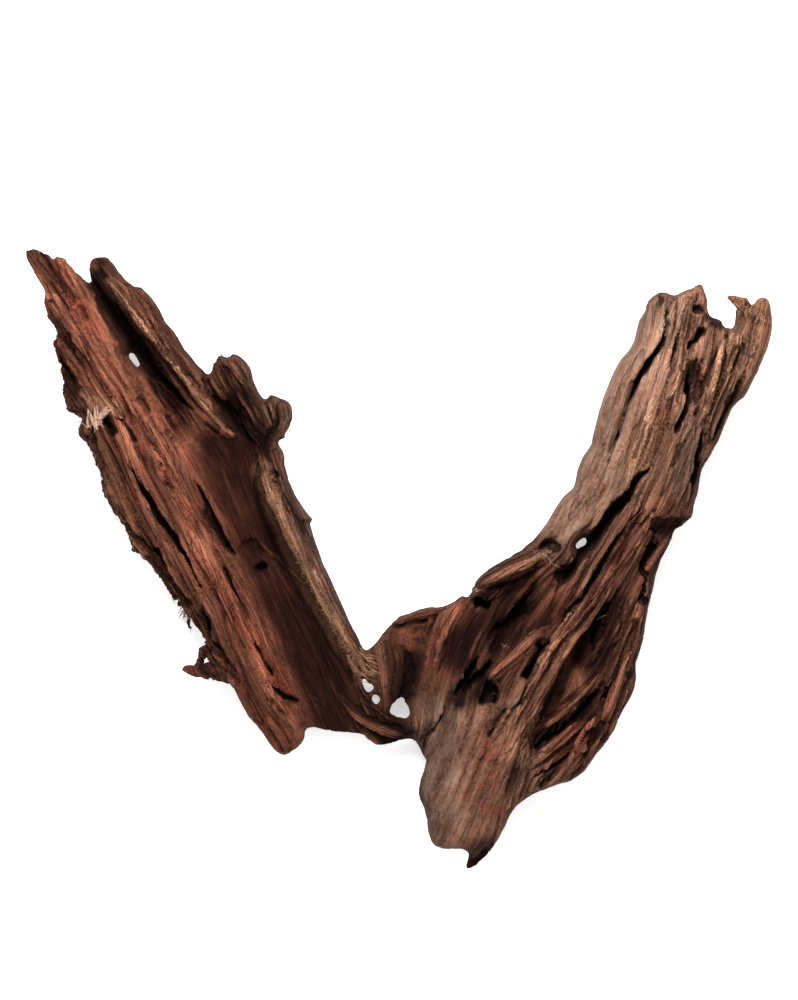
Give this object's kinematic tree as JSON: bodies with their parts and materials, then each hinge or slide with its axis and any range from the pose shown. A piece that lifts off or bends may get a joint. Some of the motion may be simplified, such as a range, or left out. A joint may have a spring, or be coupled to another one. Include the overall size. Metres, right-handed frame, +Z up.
{
  "type": "piece of driftwood",
  "caption": "Weathered forked piece of driftwood: a hollow half-log limb and a ribbed, split root grown together in a V, lying flat as a natural ornament.",
  "frame": {"origin": "on the surface that the wood lies on, under the middle of its outline", "axes": "+Z up; +X from the hollow limb's tip side across to the root's broken top, the longest way; +Y from the dark root tip towards the two upper ends"},
  "size_m": [0.4441, 0.3742, 0.0838],
  "materials": {
    "weathered_wood": "dry, rough, split along the grain, with reddish and grey weathering"
  },
  "bodies": {
    "root": {"driftwood": "weathered_wood"}
  },
  "joints": []
}
